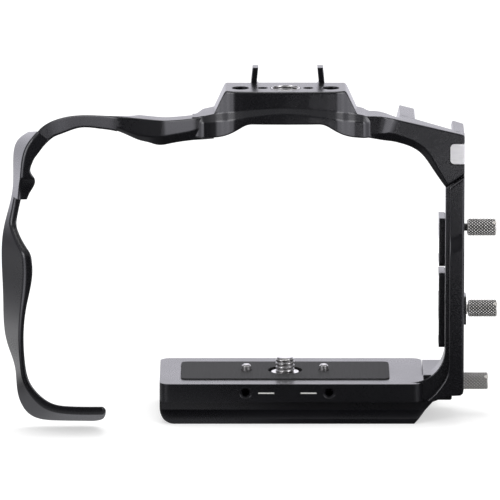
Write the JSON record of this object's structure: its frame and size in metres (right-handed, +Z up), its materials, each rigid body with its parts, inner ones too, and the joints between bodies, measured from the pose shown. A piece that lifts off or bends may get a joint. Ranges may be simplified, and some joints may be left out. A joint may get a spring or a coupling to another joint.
{
  "type": "camera cage",
  "caption": "Black aluminium camera cage with grip guard, threaded top bridge, cold shoe, dovetail base, tie-down screw and a cable clamp with knurled thumbscrews.",
  "frame": {"origin": "on the standing plane, under the middle of the cage's outline", "axes": "+X to the clamp side, along the longest side; +Y to the back of the held camera; +Z up"},
  "size_m": [0.1661, 0.057, 0.1189],
  "materials": {
    "black_anodised": "satin",
    "black_steel": "satin",
    "bright_steel": "satin",
    "knurled_steel": "polished",
    "brushed_badge": "satin",
    "black_rubber": "matte"
  },
  "bodies": {
    "cage": {"bridge": "black_anodised", "grip_arch": "black_anodised", "grip_guard": "black_anodised", "shoulder": "black_anodised", "side_column": "black_anodised", "base_bar": "black_anodised", "dovetail_plate": "black_anodised", "shoe_guard": "black_anodised", "plate_screws": "black_steel", "base_pad": "black_rubber", "locating_pins": "bright_steel", "thread_insert": "bright_steel", "corner_badge": "brushed_badge"},
    "tie_down_clip": {"camera_screw_clip": "bright_steel"},
    "tie_down_screw": {"camera_screw": "bright_steel"},
    "clamp": {"clamp_bracket": "black_anodised"},
    "fixing_screw": {"fixing_thumbscrew": "knurled_steel", "fixing_screw_clip": "bright_steel"},
    "upper_jaw": {"upper_jaw": "black_anodised", "upper_jaw_pad": "black_rubber"},
    "lower_jaw": {"lower_jaw": "black_anodised", "lower_jaw_pad": "black_rubber"},
    "upper_screw": {"upper_thumbscrew": "knurled_steel", "upper_screw_clip": "bright_steel"},
    "lower_screw": {"lower_thumbscrew": "knurled_steel", "lower_screw_clip": "bright_steel"}
  },
  "joints": [
    {"name": "tie_down_travel", "type": "slide", "parent": "cage", "child": "tie_down_clip", "axis": [0, 0, 1], "range_m": [-0.00381, 0]},
    {"name": "tie_down_turn", "type": "hinge", "parent": "tie_down_clip", "child": "tie_down_screw", "pos_m": [0.0118, 0.0085, 0.006], "axis": [0, 0, 1], "range_deg": [-1080, 0]},
    {"name": "clamp_release", "type": "slide", "parent": "cage", "child": "clamp", "axis": [1, 0, 0], "range_m": [0, 0.0036]},
    {"name": "fixing_turn", "type": "hinge", "parent": "clamp", "child": "fixing_screw", "pos_m": [0.0746, 0.0067, 0.0109], "axis": [1, 0, 0], "range_deg": [0, 2880]},
    {"name": "upper_jaw_travel", "type": "slide", "parent": "clamp", "child": "upper_jaw", "axis": [1, 0, 0], "range_m": [0, 0.00135]},
    {"name": "upper_screw_turn", "type": "hinge", "parent": "clamp", "child": "upper_screw", "pos_m": [0.0777, 0.0067, 0.0637], "axis": [-1, 0, 0], "range_deg": [0, 1080]},
    {"name": "lower_jaw_travel", "type": "slide", "parent": "clamp", "child": "lower_jaw", "axis": [1, 0, 0], "range_m": [0, 0.00135]},
    {"name": "lower_screw_turn", "type": "hinge", "parent": "clamp", "child": "lower_screw", "pos_m": [0.0781, 0.0067, 0.0359], "axis": [-1, 0, 0], "range_deg": [0, 1080]}
  ],
  "couplings": [
    {"joint": "tie_down_turn", "follows": "tie_down_travel", "rad_per_m": 4947.4},
    {"joint": "fixing_turn", "follows": "clamp_release", "rad_per_m": 13963},
    {"joint": "upper_screw_turn", "follows": "upper_jaw_travel", "rad_per_m": 13963},
    {"joint": "lower_screw_turn", "follows": "lower_jaw_travel", "rad_per_m": 13963}
  ]
}
